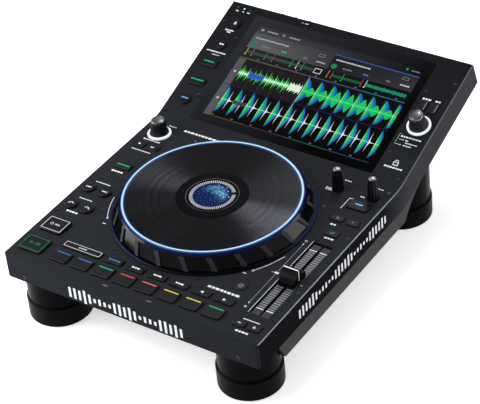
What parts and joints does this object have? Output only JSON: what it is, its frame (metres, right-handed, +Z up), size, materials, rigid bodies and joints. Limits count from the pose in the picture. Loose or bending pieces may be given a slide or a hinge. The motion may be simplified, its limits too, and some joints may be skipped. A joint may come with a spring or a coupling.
{
  "type": "disc jockey media player",
  "caption": "Table-top player for disc jockeys: sloped touch display, large lit jog wheel, performance pads, pitch fader and tall round feet.",
  "frame": {"origin": "middle of the plan at table height, under the bounding box's centre", "axes": "+X to the player's right, +Y away from the player towards the display and the rear sockets, +Z up"},
  "size_m": [0.319, 0.4682, 0.1448],
  "materials": {
    "casing": "fine satin texture",
    "lower_casing": "satin",
    "foot": "satin",
    "foot_rubber": "matt",
    "screen": "polished, dark",
    "lcd": "lit display",
    "trim": "glossy",
    "platter": "circular brushed, black",
    "light": "lit, white-blue",
    "hub": "lit display in a black rim",
    "knob": "black with polished bevel",
    "slim_knob": "satin",
    "collar": "white",
    "key": "black rubbery key",
    "lit_key": "black key with a lit mark",
    "fader_cap": "black with a white ridge",
    "socket": "black",
    "board": "circuit board",
    "screw": "black zinc"
  },
  "bodies": {
    "chassis": {"top_shell": "casing", "bottom_cover": "lower_casing", "foot_columns": "foot", "foot_cups": "foot_rubber", "screen_glass": "screen", "lcd_panel": "lcd", "jog_base": "trim", "jog_display": "hub", "knob_collars": "collar", "fader_track": "trim", "rear_sockets": "socket", "circuit_boards": "board", "screws": "screw"},
    "jog_wheel": {"jog_platter": "platter", "jog_grip_ring": "trim", "jog_light_ring": "light"},
    "sweep_knob": {"sweep_knob": "knob"},
    "select_knob": {"select_knob": "knob"},
    "start_speed_knob": {"start_speed_knob": "slim_knob"},
    "brake_speed_knob": {"brake_speed_knob": "slim_knob"},
    "pitch_cap": {"pitch_cap": "fader_cap"},
    "power_button": {"power_button": "key"},
    "play_button": {"play_button": "lit_key"},
    "cue_button": {"cue_button": "lit_key"},
    "shift_button": {"shift_button": "key"},
    "slip_button": {"slip_button": "key"},
    "skip_back_button": {"skip_back_button": "key"},
    "skip_next_button": {"skip_next_button": "key"},
    "beat_back_button": {"beat_back_button": "key"},
    "beat_next_button": {"beat_next_button": "key"},
    "loop_in_button": {"loop_in_button": "key"},
    "loop_out_button": {"loop_out_button": "key"},
    "bend_minus_button": {"bend_minus_button": "key"},
    "bend_plus_button": {"bend_plus_button": "key"},
    "vinyl_button": {"vinyl_button": "key"},
    "key_lock_button": {"key_lock_button": "key"},
    "key_sync_button": {"key_sync_button": "key"},
    "key_reset_button": {"key_reset_button": "key"},
    "sync_button": {"sync_button": "key"},
    "cue_mode_button": {"cue_mode_button": "key"},
    "loop_mode_button": {"loop_mode_button": "key"},
    "roll_mode_button": {"roll_mode_button": "key"},
    "slice_mode_button": {"slice_mode_button": "key"},
    "page_left_button": {"page_left_button": "key"},
    "page_right_button": {"page_right_button": "key"},
    "pad_1": {"pad_1": "lit_key"},
    "pad_2": {"pad_2": "lit_key"},
    "pad_3": {"pad_3": "lit_key"},
    "pad_4": {"pad_4": "lit_key"},
    "pad_5": {"pad_5": "lit_key"},
    "pad_6": {"pad_6": "lit_key"},
    "pad_7": {"pad_7": "lit_key"},
    "pad_8": {"pad_8": "lit_key"},
    "eject_button": {"eject_button": "key"},
    "view_button": {"view_button": "key"},
    "menu_button": {"menu_button": "key"},
    "info_button": {"info_button": "key"},
    "light_button": {"light_button": "key"},
    "back_button": {"back_button": "key"},
    "forward_button": {"forward_button": "key"}
  },
  "joints": [
    {"name": "jog_wheel_turn", "type": "hinge", "parent": "chassis", "child": "jog_wheel", "pos_m": [0, -0.0704, 0.0865], "axis": [0, 0, 1], "continuous": true},
    {"name": "sweep_knob_turn", "type": "hinge", "parent": "chassis", "child": "sweep_knob", "pos_m": [-0.135, 0.0201, 0.0865], "axis": [0, 0, 1], "continuous": true},
    {"name": "select_knob_turn", "type": "hinge", "parent": "chassis", "child": "select_knob", "pos_m": [0.14, 0.12908, 0.11352], "axis": [0, -0.3256, 0.9455], "continuous": true},
    {"name": "start_speed_knob_turn", "type": "hinge", "parent": "chassis", "child": "start_speed_knob", "pos_m": [0.0998, 0.0211, 0.0865], "axis": [0, 0, 1], "range_deg": [-150, 150]},
    {"name": "brake_speed_knob_turn", "type": "hinge", "parent": "chassis", "child": "brake_speed_knob", "pos_m": [0.1423, 0.0229, 0.0865], "axis": [0, 0, 1], "range_deg": [-150, 150]},
    {"name": "pitch_cap_slide", "type": "slide", "parent": "chassis", "child": "pitch_cap", "axis": [0, 1, 0], "range_m": [-0.05, 0.05]},
    {"name": "power_button_push", "type": "slide", "parent": "chassis", "child": "power_button", "axis": [0, -0.9455, -0.3256], "range_m": [0, 0.002], "stiffness_N_per_m": 600, "springref_m": -0.0005},
    {"name": "play_button_push", "type": "slide", "parent": "chassis", "child": "play_button", "axis": [0, 0, -1], "range_m": [0, 0.0008], "stiffness_N_per_m": 400, "springref_m": -0.0005},
    {"name": "cue_button_push", "type": "slide", "parent": "chassis", "child": "cue_button", "axis": [0, 0, -1], "range_m": [0, 0.0008], "stiffness_N_per_m": 400, "springref_m": -0.0005},
    {"name": "shift_button_push", "type": "slide", "parent": "chassis", "child": "shift_button", "axis": [0, 0, -1], "range_m": [0, 0.0008], "stiffness_N_per_m": 400, "springref_m": -0.0005},
    {"name": "slip_button_push", "type": "slide", "parent": "chassis", "child": "slip_button", "axis": [0, 0, -1], "range_m": [0, 0.0008], "stiffness_N_per_m": 400, "springref_m": -0.0005},
    {"name": "skip_back_button_push", "type": "slide", "parent": "chassis", "child": "skip_back_button", "axis": [0, 0, -1], "range_m": [0, 0.0008], "stiffness_N_per_m": 400, "springref_m": -0.0005},
    {"name": "skip_next_button_push", "type": "slide", "parent": "chassis", "child": "skip_next_button", "axis": [0, 0, -1], "range_m": [0, 0.0008], "stiffness_N_per_m": 400, "springref_m": -0.0005},
    {"name": "beat_back_button_push", "type": "slide", "parent": "chassis", "child": "beat_back_button", "axis": [0, 0, -1], "range_m": [0, 0.0008], "stiffness_N_per_m": 400, "springref_m": -0.0005},
    {"name": "beat_next_button_push", "type": "slide", "parent": "chassis", "child": "beat_next_button", "axis": [0, 0, -1], "range_m": [0, 0.0008], "stiffness_N_per_m": 400, "springref_m": -0.0005},
    {"name": "loop_in_button_push", "type": "slide", "parent": "chassis", "child": "loop_in_button", "axis": [0, 0, -1], "range_m": [0, 0.0008], "stiffness_N_per_m": 400, "springref_m": -0.0005},
    {"name": "loop_out_button_push", "type": "slide", "parent": "chassis", "child": "loop_out_button", "axis": [0, 0, -1], "range_m": [0, 0.0008], "stiffness_N_per_m": 400, "springref_m": -0.0005},
    {"name": "bend_minus_button_push", "type": "slide", "parent": "chassis", "child": "bend_minus_button", "axis": [0, 0, -1], "range_m": [0, 0.0008], "stiffness_N_per_m": 400, "springref_m": -0.0005},
    {"name": "bend_plus_button_push", "type": "slide", "parent": "chassis", "child": "bend_plus_button", "axis": [0, 0, -1], "range_m": [0, 0.0008], "stiffness_N_per_m": 400, "springref_m": -0.0005},
    {"name": "vinyl_button_push", "type": "slide", "parent": "chassis", "child": "vinyl_button", "axis": [0, 0, -1], "range_m": [0, 0.0008], "stiffness_N_per_m": 400, "springref_m": -0.0005},
    {"name": "key_lock_button_push", "type": "slide", "parent": "chassis", "child": "key_lock_button", "axis": [0, 0, -1], "range_m": [0, 0.0008], "stiffness_N_per_m": 400, "springref_m": -0.0005},
    {"name": "key_sync_button_push", "type": "slide", "parent": "chassis", "child": "key_sync_button", "axis": [0, 0, -1], "range_m": [0, 0.0008], "stiffness_N_per_m": 400, "springref_m": -0.0005},
    {"name": "key_reset_button_push", "type": "slide", "parent": "chassis", "child": "key_reset_button", "axis": [0, 0, -1], "range_m": [0, 0.0008], "stiffness_N_per_m": 400, "springref_m": -0.0005},
    {"name": "sync_button_push", "type": "slide", "parent": "chassis", "child": "sync_button", "axis": [0, 0, -1], "range_m": [0, 0.0008], "stiffness_N_per_m": 400, "springref_m": -0.0005},
    {"name": "cue_mode_button_push", "type": "slide", "parent": "chassis", "child": "cue_mode_button", "axis": [0, 0, -1], "range_m": [0, 0.0008], "stiffness_N_per_m": 400, "springref_m": -0.0005},
    {"name": "loop_mode_button_push", "type": "slide", "parent": "chassis", "child": "loop_mode_button", "axis": [0, 0, -1], "range_m": [0, 0.0008], "stiffness_N_per_m": 400, "springref_m": -0.0005},
    {"name": "roll_mode_button_push", "type": "slide", "parent": "chassis", "child": "roll_mode_button", "axis": [0, 0, -1], "range_m": [0, 0.0008], "stiffness_N_per_m": 400, "springref_m": -0.0005},
    {"name": "slice_mode_button_push", "type": "slide", "parent": "chassis", "child": "slice_mode_button", "axis": [0, 0, -1], "range_m": [0, 0.0008], "stiffness_N_per_m": 400, "springref_m": -0.0005},
    {"name": "page_left_button_push", "type": "slide", "parent": "chassis", "child": "page_left_button", "axis": [0, 0, -1], "range_m": [0, 0.0008], "stiffness_N_per_m": 400, "springref_m": -0.0005},
    {"name": "page_right_button_push", "type": "slide", "parent": "chassis", "child": "page_right_button", "axis": [0, 0, -1], "range_m": [0, 0.0008], "stiffness_N_per_m": 400, "springref_m": -0.0005},
    {"name": "pad_1_push", "type": "slide", "parent": "chassis", "child": "pad_1", "axis": [0, 0, -1], "range_m": [0, 0.0008], "stiffness_N_per_m": 400, "springref_m": -0.0005},
    {"name": "pad_2_push", "type": "slide", "parent": "chassis", "child": "pad_2", "axis": [0, 0, -1], "range_m": [0, 0.0008], "stiffness_N_per_m": 400, "springref_m": -0.0005},
    {"name": "pad_3_push", "type": "slide", "parent": "chassis", "child": "pad_3", "axis": [0, 0, -1], "range_m": [0, 0.0008], "stiffness_N_per_m": 400, "springref_m": -0.0005},
    {"name": "pad_4_push", "type": "slide", "parent": "chassis", "child": "pad_4", "axis": [0, 0, -1], "range_m": [0, 0.0008], "stiffness_N_per_m": 400, "springref_m": -0.0005},
    {"name": "pad_5_push", "type": "slide", "parent": "chassis", "child": "pad_5", "axis": [0, 0, -1], "range_m": [0, 0.0008], "stiffness_N_per_m": 400, "springref_m": -0.0005},
    {"name": "pad_6_push", "type": "slide", "parent": "chassis", "child": "pad_6", "axis": [0, 0, -1], "range_m": [0, 0.0008], "stiffness_N_per_m": 400, "springref_m": -0.0005},
    {"name": "pad_7_push", "type": "slide", "parent": "chassis", "child": "pad_7", "axis": [0, 0, -1], "range_m": [0, 0.0008], "stiffness_N_per_m": 400, "springref_m": -0.0005},
    {"name": "pad_8_push", "type": "slide", "parent": "chassis", "child": "pad_8", "axis": [0, 0, -1], "range_m": [0, 0.0008], "stiffness_N_per_m": 400, "springref_m": -0.0005},
    {"name": "eject_button_push", "type": "slide", "parent": "chassis", "child": "eject_button", "axis": [0, 0.3256, -0.9455], "range_m": [0, 0.0008], "stiffness_N_per_m": 400, "springref_m": -0.0005},
    {"name": "view_button_push", "type": "slide", "parent": "chassis", "child": "view_button", "axis": [0, 0.3256, -0.9455], "range_m": [0, 0.0008], "stiffness_N_per_m": 400, "springref_m": -0.0005},
    {"name": "menu_button_push", "type": "slide", "parent": "chassis", "child": "menu_button", "axis": [0, 0.3256, -0.9455], "range_m": [0, 0.0008], "stiffness_N_per_m": 400, "springref_m": -0.0005},
    {"name": "info_button_push", "type": "slide", "parent": "chassis", "child": "info_button", "axis": [0, 0.3256, -0.9455], "range_m": [0, 0.0008], "stiffness_N_per_m": 400, "springref_m": -0.0005},
    {"name": "light_button_push", "type": "slide", "parent": "chassis", "child": "light_button", "axis": [0, 0.3256, -0.9455], "range_m": [0, 0.0008], "stiffness_N_per_m": 400, "springref_m": -0.0005},
    {"name": "back_button_push", "type": "slide", "parent": "chassis", "child": "back_button", "axis": [0, 0.3256, -0.9455], "range_m": [0, 0.0008], "stiffness_N_per_m": 400, "springref_m": -0.0005},
    {"name": "forward_button_push", "type": "slide", "parent": "chassis", "child": "forward_button", "axis": [0, 0.3256, -0.9455], "range_m": [0, 0.0008], "stiffness_N_per_m": 400, "springref_m": -0.0005}
  ]
}
